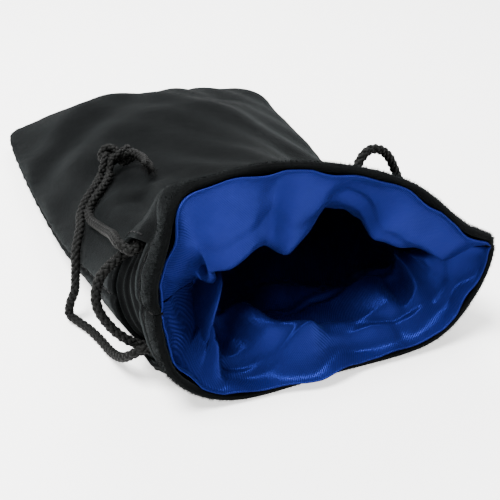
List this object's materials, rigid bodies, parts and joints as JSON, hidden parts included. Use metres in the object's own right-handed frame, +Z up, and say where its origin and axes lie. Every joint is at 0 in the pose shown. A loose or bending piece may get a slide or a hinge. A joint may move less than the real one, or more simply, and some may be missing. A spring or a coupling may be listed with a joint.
{
  "type": "drawstring pouch",
  "caption": "Velvet drawstring dice pouch with a satin lining, lying on its back with its mouth open and its braided cords loose.",
  "frame": {"origin": "on the surface that the bag lies on, under the middle of the bag's box, its loose cord ends left out", "axes": "+Z up; the bag's length runs along Y, with the mouth at -Y and the sewn end at +Y; +X is to the right seen from the mouth's side looking towards the sewn end"},
  "size_m": [0.1382, 0.2019, 0.0612],
  "materials": {
    "velvet": "deep-pile velvet with a soft grey sheen",
    "satin": "satin weave with soft highlights",
    "black_thread": "twisted sewing thread",
    "blue_thread": "twisted sewing thread",
    "braided_cord": "braided cord with a slight lustre"
  },
  "bodies": {
    "bag": {"velvet_upper_panel": "velvet", "velvet_lower_panel": "velvet", "left_casing_facing": "velvet", "right_casing_facing": "velvet", "lining_upper_panel": "satin", "lining_lower_panel": "satin", "shell_seam_thread": "black_thread", "left_header_seam_thread": "black_thread", "right_header_seam_thread": "black_thread", "casing_front_row_thread": "black_thread", "casing_back_row_thread": "black_thread", "left_upper_casing_end_hem": "black_thread", "left_lower_casing_end_hem": "black_thread", "right_upper_casing_end_hem": "black_thread", "right_lower_casing_end_hem": "black_thread", "lining_seam_thread": "blue_thread", "left_drawstring_casing_run": "braided_cord", "right_drawstring_casing_run": "braided_cord"},
    "left_pull": {"left_drawstring_upper_end": "braided_cord", "left_drawstring_lower_end": "braided_cord", "left_drawstring_knot": "braided_cord"},
    "right_pull": {"right_drawstring_upper_end": "braided_cord", "right_drawstring_lower_end": "braided_cord", "right_drawstring_knot": "braided_cord"}
  },
  "joints": [
    {"name": "left_pull_swing", "type": "hinge", "parent": "bag", "child": "left_pull", "pos_m": [-0.0424, -0.0705, 0.0407], "axis": [0.0595, 0.2977, 0.9528], "range_deg": [0, 70]},
    {"name": "right_pull_swing", "type": "hinge", "parent": "bag", "child": "right_pull", "pos_m": [0.018, -0.0699, 0.0421], "axis": [0.6812, -0.2622, -0.6835], "range_deg": [0, 18]}
  ]
}
